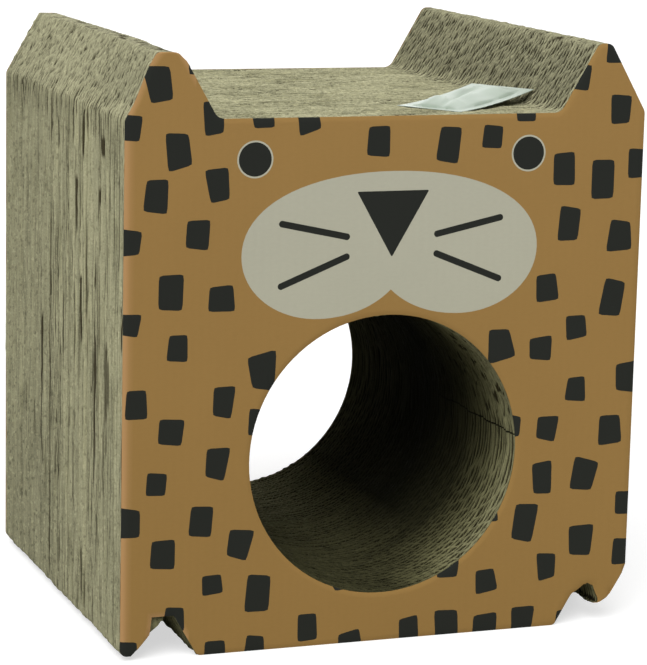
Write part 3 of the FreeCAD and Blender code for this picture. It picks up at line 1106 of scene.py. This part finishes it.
def corrugated_board(die):
    """Greyish recycled paper, pale on its cut edges, with painted shade deep in the flutes and in the
    openings, and soil and painted shade on its sides and ears.
    """
    finish = Finish.of_material("corrugated_board")
    tint = die.boards.board_colour[:]
    x, _, z = finish.object_axes()
    on_deck = (z > die.wear.deck - BELOW_DECK) * (abs(x) < die.boards.ear_zone)
    streaks = finish.speckled(0.32, 0.68, 1, 2, (400, 420, 14))
    specks = finish.speckled(0.36, 0.64, 1, 2, (600, 150, 150))
    dashes = finish.speckled(0.42, 0.64, 1, 2, (420, 360, 30))
    patches = finish.speckled(0.35, 0.65, 22, 3)
    fibres = finish.speckled(0.3, 0.7, 900, 2)
    pits = finish.speckled(0.57, 0.67, 1, 2, (330, 380, 250))
    crumbs = finish.speckled(0.6, 0.68, 1, 1, (520, 470, 330))
    grain = streaks * (1 - on_deck) + (specks * 0.7 + 0.15) * on_deck
    base = finish.mix(grain, shade(tint, 0.7), shade(tint, 1.2))
    base = finish.mix(dashes * (1 - on_deck * 0.85) * 0.45, base, shade(tint, 0.52))
    base = finish.mix(patches * 0.25, base, shade(tint, 0.78))
    base = finish.mix(fibres * 0.4, base, shade(tint, 1.4))
    soil = finish.attribute("soil")
    base = finish.mix(pits * (soil * 0.4 + 0.35), base, shade(tint, 0.4))
    base = finish.mix(crumbs * (soil * 0.45 + 0.12), base, shade(tint, 1.7))
    # Painted shade deep in open flutes, pits and splits
    deep = finish.ramp(finish.attribute("hollow"), (0.08, 0), (0.5, 1))
    base = finish.mix(deep * 0.95, base, srgb(62, 55, 36))
    # Soil and painted shade darken the board
    base = finish.multiplied(base, soil, (0.5, 0.5, 0.5))
    shaded = openings(finish)
    base = finish.multiplied(base, shaded, (1, 0.99, 0.68))
    base = finish.mix(shaded, base, srgb(26, 26, 14))
    bump = finish.bump(fibres, 0.25 * MM, 0.7)
    return finish.surface({"Base Color": base, "Roughness": 0.92, "Specular IOR Level": 0.1, "Normal": bump})


def tunnel_circle():
    """Height and radius of the tunnel, read from the front cover's solid."""
    places = places_of(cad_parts["front_cover"])
    x, z = places[:, 0], places[:, 2]
    rim = z[(np.abs(x) < 0.6 * HALF_WIDTH) & (z > BELOW_TUNNEL) & (z < 0.6 * EAR_TIP)]
    return float(rim.min() + rim.max()) / 2, float(rim.max() - rim.min()) / 2


def openings(finish):
    """Share, 0 to 1, by which a place lies in the shade inside the tunnel or a notch."""
    height, radius = tunnel_circle()
    x, y, z = finish.object_axes()
    inside = (x * x + (z - height) * (z - height)) < (radius + TUNNEL_MARGIN) ** 2
    along = (y - FRONT) * (1 / (REAR - FRONT))
    wall, ground = finish.ramp(along, *WALL_SHADE), finish.ramp(along, *GROUND_SHADE)
    turned = (x * -0.5 - (z - height) * 0.87) * (1 / radius)
    lower = finish.ramp(turned, (0.35, 0), (0.8, 1))
    wander = finish.noise(45, 2) * LINE_WANDER
    line = (abs(z - wander - LINE_HEIGHT) < LINE_HALF) * (x > 0) * (y < LINE_END)
    low = (z < NOTCH_SHADE) * (abs(x) < HALF_WIDTH - FOOT_WIDTH)
    return inside * (wall * (1 - lower) + ground * lower + line * 0.5) + low * 0.6


def printed_paper(name, tint, boards, rim_tint):
    """Paper with an even print, painted shade towards the bottom, a worn rim with painted light at its left
    edge, faint washboard over the flutes and fine fibres.
    """
    finish = Finish.of_material(name)
    clouds = finish.speckled(0.3, 0.7, 14, 4)
    fibres = finish.speckled(0.25, 0.75, 1, 3, (260, 1, 700))
    base = finish.mix(clouds * 0.35, tint, shade(tint, 0.9))
    base = finish.mix(fibres * 0.2, base, shade(tint, 1.16))
    x, _, z = finish.object_axes()
    # Painted shade: darker towards the bottom
    low = finish.ramp(z * (1 / EAR_TIP), (0, 1), (1, 0))
    base = finish.multiplied(base, low, (0.9, 0.9, 0.84))
    # Pale worn paper and painted light from the left, on the left edge and its rim
    strip = finish.ramp((x + HALF_WIDTH) * (1 / WORN_STRIP), (0.15, 1), (0.8, 0))
    left = x < WORN_RIM - HALF_WIDTH
    base = finish.mix(finish.attribute("face_rim") * left * 0.7, base, rim_tint)
    base = finish.mix(strip * 0.55, base, rim_tint)
    wave = {"wave_type": "BANDS", "bands_direction": "X", "wave_profile": "SIN"}
    across = TAU / boards.cover_pitch / WAVE_RADIANS
    washboard = finish.node("ShaderNodeTexWave", wave, {"Vector": finish.object_place(), "Scale": across})
    bump = finish.bump(washboard * 0.6 + fibres * 0.4, 0.12 * MM, 0.35)
    return finish.surface({"Base Color": base, "Roughness": 0.75, "Specular IOR Level": 0.15, "Normal": bump})


def sachet_film(sizes):
    """Thin clear plastic with a milky cast."""
    finish = Finish.of_material("sachet_film")
    tint = sizes.film_colour[:]
    base = finish.mix(finish.speckled(0.35, 0.65, 60, 4) * 0.5, tint, shade(tint, 0.86))
    return finish.surface({"Base Color": base, "Roughness": 0.4, "Alpha": 0.9})


def dried_catnip(sizes):
    """Crumbled dry leaves."""
    finish = Finish.of_material("dried_catnip")
    tint = sizes.catnip_colour[:]
    leaves = finish.speckled(0.35, 0.65, 700, 3)
    base = finish.mix(leaves, shade(tint, 0.55), shade(tint, 1.35))
    return finish.surface({"Base Color": base, "Roughness": 0.95, "Normal": finish.bump(leaves, 0.5 * MM)})


# Operators


def sizes_of(context):
    scene = context.scene
    return scene.scratcher_boards, scene.scratcher_print, scene.scratcher_sachet, scene.scratcher_studio


class SCRATCHER_OT_stage(bpy.types.Operator):
    """Add the camera, the lamps and the floor"""

    bl_idname = "scratcher.stage"
    bl_label = "Stage"

    # Each lamp's way from the object, and the angle in degrees that its light spreads over
    LAMPS = {"key": ((-0.34, -0.515, 0.787), 50), "back": ((0.5, 1.0, 0.8), 60)}

    def execute(self, context):
        studio = sizes_of(context)[3]
        self.add_camera(context, studio)
        self.add_floor(studio)
        self.light(context, studio)
        context.scene.view_settings.view_transform = "Standard"
        return {"FINISHED"}

    def add_camera(self, context, studio):
        azimuth, elevation = studio.azimuth, studio.elevation
        level_share, rise = math.cos(elevation), math.sin(elevation)
        back = Vector((math.sin(azimuth) * level_share, -math.cos(azimuth) * level_share, rise))
        right = Vector((0, 0, 1)).cross(back).normalized()
        level = Matrix((right, back.cross(right), back)).transposed()
        rolled = level @ Matrix.Rotation(studio.roll, 3, "Z")
        camera = link(bpy.data.objects.new("camera", bpy.data.cameras.new("camera")))
        camera.matrix_world = Matrix.LocRotScale(studio.camera_place, rolled, None)
        camera.data.lens = studio.lens
        camera.data.clip_end = studio.floor_size
        context.scene.camera = camera

    def add_floor(self, studio):
        bpy.ops.object.select_all(action="DESELECT")
        bpy.ops.mesh.primitive_plane_add(size=studio.floor_size)
        floor = bpy.context.active_object
        floor.name = "floor"
        finish = Finish.of_material("floor")
        bounce = finish.node("ShaderNodeBsdfDiffuse", {}, {"Color": (*studio.bounce_colour, 1)})
        pale = finish.node("ShaderNodeBsdfDiffuse", {}, {"Color": (*studio.floor_colour, 1)})
        glow = finish.node("ShaderNodeEmission", {}, {"Color": WHITE, "Strength": studio.floor_glow})
        bright = finish.node("ShaderNodeAddShader", {}, {0: pale, 1: glow})
        floor.data.materials.append(finish.ends_in(finish.seen_as(bright, bounce)))
        floor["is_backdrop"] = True

    def light(self, context, studio):
        finish = Finish(bpy.data.worlds.new("studio"))
        even = finish.node("ShaderNodeBackground", {}, {"Color": WHITE, "Strength": studio.ambient})
        backdrop = finish.node("ShaderNodeBackground", {}, {"Color": WHITE, "Strength": 1})
        context.scene.world = finish.ends_in(finish.seen_as(backdrop, even), "ShaderNodeOutputWorld")
        for name, (way, softness) in self.LAMPS.items():
            data = bpy.data.lights.new(name, "SUN")
            data.energy = getattr(studio, name)
            data.angle = math.radians(softness)
            lamp = link(bpy.data.objects.new(name, data))
            lamp.rotation_mode = "QUATERNION"
            lamp.rotation_quaternion = Vector(way).to_track_quat("Z", "Y")


class SCRATCHER_OT_corrugated_sheets(bpy.types.Operator):
    """Add the corrugated sheets that are glued face to face"""

    bl_idname = "scratcher.corrugated_sheets"
    bl_label = "Corrugated sheets"

    def execute(self, context):
        boards = sizes_of(context)[0]
        die = Die(boards)
        blank = Blank(die, "sheet", (FRONT_LINER, MEDIUM, REAR_LINER), (boards.rim,))
        material = corrugated_board(die)
        for index in range(SHEET_COUNT):
            draw = np.random.default_rng((boards.seed, index))
            node = PAIRS[index // SHEETS_PER_NODE]
            front = FIRST_SHEET + index * SHEET
            places = blank.lay(front, SHEET, boards.flute_pitch, draw, open_flutes(node, front))
            marks = {"hollow": die.wear.hollow(places, blank), "soil": die.wear.soil(places)}
            piece = blank.copy(f"corrugated_sheet_{index + 1:02d}", die.wear.worn(places, blank, draw))
            for name, values in marks.items():
                mark(piece, name, values)
            finish_piece(piece, material, BODY, "corrugated_board", node)
        remove(blank.piece, die.face)
        return {"FINISHED"}


def add_core(die, cover, plies, front, draw, leaning, **rolls):
    """Add all of a cover but its outer liner."""
    core = Blank(die, f"{cover}_blank", plies, die.cover_rims)
    places = core.lay(front, COVER, die.boards.cover_pitch, draw, **rolls)
    piece = core.copy(f"{cover}_core", die.wear.worn(places, core, draw, leaning))
    remove(core.piece)
    finish_piece(piece, corrugated_board(die), BODY, "corrugated_board", cover)


class SCRATCHER_OT_front_cover(bpy.types.Operator):
    """Add the front cover with its printed face"""

    bl_idname = "scratcher.front_cover"
    bl_label = "Front cover"

    LEANING_SHARE = 0.4
    # Pale worn rim with painted light, at the left side
    RIM_TINT = srgb(196, 152, 104)

    def execute(self, context):
        boards, prints, _, _ = sizes_of(context)
        die = Die(boards)
        draw = np.random.default_rng((boards.seed, SHEET_COUNT))
        add_core(die, "front_cover", (MEDIUM, REAR_LINER), FRONT, draw, self.LEANING_SHARE, front_roll=True)
        liner = Blank(die, "front_liner", (FRONT_LINER,), die.cover_rims)
        black, pale = black_stencil(prints), pale_stencil(prints)
        face, pale_ink, black_ink = [
            duplicate(liner.piece, name) for name in ("front_cover_face", "print_pale", "print_black")
        ]
        boolean(face, black, "DIFFERENCE")
        boolean(face, pale, "DIFFERENCE")
        boolean(pale_ink, pale, "INTERSECT")
        boolean(pale_ink, black, "DIFFERENCE")
        boolean(black_ink, black, "INTERSECT")
        looks = (
            (face, "printed_kraft_face", boards.face_colour[:], self.RIM_TINT),
            (pale_ink, "pale_ink", prints.pale[:], prints.pale[:]),
            (black_ink, "black_ink", prints.black[:], prints.black[:]),
        )
        for piece, name, tint, rim_tint in looks:
            self.shape_liner(piece, die)
            smooth(piece, BOARD_SMOOTHING)
            apply_modifier(piece, "WEIGHTED_NORMAL", keep_sharp=True)
            material = printed_paper(name, tint, boards, rim_tint)
            finish_piece(piece, material, BODY, "printed_kraft", "front_cover")
        remove(liner.piece, black, pale, die.face)
        return {"FINISHED"}

    def shape_liner(self, piece, die):
        """Press the flat face's rim in, crush its corners and mark its rim."""
        places = places_of(piece)
        distance, _ = die.line.nearest(places)
        places[:, 1] += FRONT + die.boards.liner / 2 + die.face_roll(distance)
        set_places(piece, die.wear.crush(places))
        mark(piece, "face_rim", die.face_rim(distance))


class SCRATCHER_OT_rear_cover(bpy.types.Operator):
    """Add the plain rear cover"""

    bl_idname = "scratcher.rear_cover"
    bl_label = "Rear cover"

    def execute(self, context):
        boards = sizes_of(context)[0]
        die = Die(boards)
        front = REAR - COVER
        draw = np.random.default_rng((boards.seed, SHEET_COUNT + 1))
        add_core(die, "rear_cover", (FRONT_LINER, MEDIUM), front, draw, 0, rear_roll=True)
        liner = Blank(die, "rear_liner", (REAR_LINER,), die.cover_rims)
        places = liner.lay(front, COVER, boards.cover_pitch, draw, rear_roll=True)
        piece = liner.copy("rear_cover_face", die.wear.crush(places))
        mark(piece, "face_rim", die.face_rim(liner.distance))
        tint = boards.rear_colour[:]
        material = printed_paper("plain_kraft", tint, boards, shade(tint, 1.1))
        finish_piece(piece, material, BODY, "plain_kraft", "rear_cover")
        remove(liner.piece, die.face)
        return {"FINISHED"}


class SCRATCHER_OT_sachet(bpy.types.Operator):
    """Add the catnip sachet that lies on the deck"""

    bl_idname = "scratcher.sachet"
    bl_label = "Sachet"

    # Facets of a film and of the filling, along and across
    FILM_FACETS, FILLING_FACETS = (84, 50), (60, 36)
    # Angle in degrees up to which facets are shaded as one
    SMOOTHING = 50
    # Fold across the pillow: where it begins, how it slants and how wide it is
    FOLD_PLACE, FOLD_SLANT, FOLD_WIDTH = 17 * MM, 0.22, 2.5 * MM
    WAVE_SEED, WAVES = 11, mm(24, 13, EVEN)
    # Over which lengths the pillow rises from its sealed rim, along and across
    RISE_ALONG, RISE_ACROSS = mm(14, 12)
    # Gap between the sealed rim and the filling
    LOOSE = 0.6 * MM

    def execute(self, context):
        sizes = sizes_of(context)[2]
        film = sachet_film(sizes)
        low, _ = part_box("sachet_lower_film")
        across = sizes.short_side * math.sin(sizes.turned)
        placed = (
            Matrix.Translation((low.x + across, low.y, low.z))
            @ Matrix.Rotation(sizes.turned, 4, "Z")
            @ Matrix.Rotation(-sizes.tilt, 4, "Y")
        )
        for level in ("lower", "upper"):
            piece = self.film(f"sachet_film_{level}", sizes, level == "upper")
            self.lay(piece, sizes, placed)
            finish_piece(piece, film, SACHET_BODY, "sachet_film", f"sachet_{level}_film")
        filling = self.filling(sizes)
        self.lay(filling, sizes, placed)
        finish_piece(filling, dried_catnip(sizes), SACHET_BODY, "dried_catnip", "catnip_filling")
        return {"FINISHED"}

    def lay(self, piece, sizes, placed):
        """Let a piece sag onto the deck between its ends, then turn and tilt it into its place."""
        places = places_of(piece)
        along = np.clip(places[:, 0] / sizes.long_side, 0, 1)
        rise = sizes.long_side * math.sin(sizes.tilt)
        places[:, 2] -= rise * (along - along ** 1.7)
        set_places(piece, places)
        piece.data.transform(placed)

    def creases(self, places):
        """Share of its full height to which the pillow stands at each place, with one fold."""
        fold = places[:, 1] - self.FOLD_PLACE - self.FOLD_SLANT * places[:, 0]
        waves = 0.12 * Ripple(self.WAVE_SEED, self.WAVES)(places)
        return 0.9 + waves - 0.4 * np.exp(-(fold / self.FOLD_WIDTH) ** 2)

    def rise(self, places, sizes, margin):
        """Height of the pillow over the sealed rim."""
        x, y = places[:, 0], places[:, 1]
        along = np.clip(np.minimum(x, sizes.long_side - x) - margin, 0, None)
        across = np.clip(np.minimum(y, sizes.short_side - y) - margin, 0, None)
        crown = np.minimum(along / self.RISE_ALONG, 1) * np.minimum(across / self.RISE_ACROSS, 1)
        return sizes.height * np.sqrt(np.clip(crown, 0, 1))

    def grid(self, name, facets, sizes, margin):
        """Flat grid over the sachet, inside a margin, with a corner of the sachet at the origin."""
        bpy.ops.object.select_all(action="DESELECT")
        bpy.ops.mesh.primitive_grid_add(x_subdivisions=facets[0], y_subdivisions=facets[1], size=1)
        piece = bpy.context.active_object
        piece.name = name
        places = places_of(piece)
        for axis, side in enumerate((sizes.long_side, sizes.short_side)):
            places[:, axis] = margin + (places[:, axis] + 0.5) * (side - 2 * margin)
        return set_places(piece, places)

    def film(self, name, sizes, upper):
        piece = self.grid(name, self.FILM_FACETS, sizes, 0)
        if upper:
            places = places_of(piece)
            places[:, 2] = sizes.film + self.rise(places, sizes, sizes.seal) * self.creases(places)
            set_places(piece, places)
        thicken(piece, 0.75 * sizes.film)
        return smooth(piece, self.SMOOTHING)

    def filling(self, sizes):
        margin = sizes.seal + self.LOOSE
        piece = self.grid("dried_catnip", self.FILLING_FACETS, sizes, margin)
        thicken(piece, sizes.film)
        places = places_of(piece)
        upper = places[:, 2] > 0
        crown = 0.8 * self.rise(places, sizes, margin) * self.creases(places)
        places[:, 2] += sizes.film + crown * upper
        return smooth(set_places(piece, places), self.SMOOTHING)


GROUPS = {
    "scratcher_boards": ScratcherBoards,
    "scratcher_print": ScratcherPrint,
    "scratcher_sachet": ScratcherSachet,
    "scratcher_studio": ScratcherStudio,
}
STEPS = (
    SCRATCHER_OT_stage,
    SCRATCHER_OT_front_cover,
    SCRATCHER_OT_corrugated_sheets,
    SCRATCHER_OT_rear_cover,
    SCRATCHER_OT_sachet,
)


class SCRATCHER_PT_panel(bpy.types.Panel):
    """Lists the steps that build the scratcher"""

    bl_idname = "SCRATCHER_PT_panel"
    bl_label = "Cat scratcher"
    bl_space_type = "VIEW_3D"
    bl_region_type = "UI"
    bl_category = "Scratcher"

    def draw(self, context):
        for step in STEPS:
            self.layout.operator(step.bl_idname)


CLASSES = (*GROUPS.values(), *STEPS, SCRATCHER_PT_panel)


def register():
    for item in CLASSES:
        bpy.utils.register_class(item)
    for name, group in GROUPS.items():
        setattr(bpy.types.Scene, name, bpy.props.PointerProperty(type=group))


def unregister():
    for name in GROUPS:
        delattr(bpy.types.Scene, name)
    for item in reversed(CLASSES):
        bpy.utils.unregister_class(item)


def main():
    register()
    bpy.ops.scratcher.stage()
    bpy.ops.scratcher.front_cover()
    bpy.ops.scratcher.corrugated_sheets()
    bpy.ops.scratcher.rear_cover()
    bpy.ops.scratcher.sachet()
    boxes = {"cad": CAD_BOX, "visual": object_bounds()}
    {name: [list(corner) for corner in box] for name, box in boxes.items()}


if __name__ == "__main__":
    main()
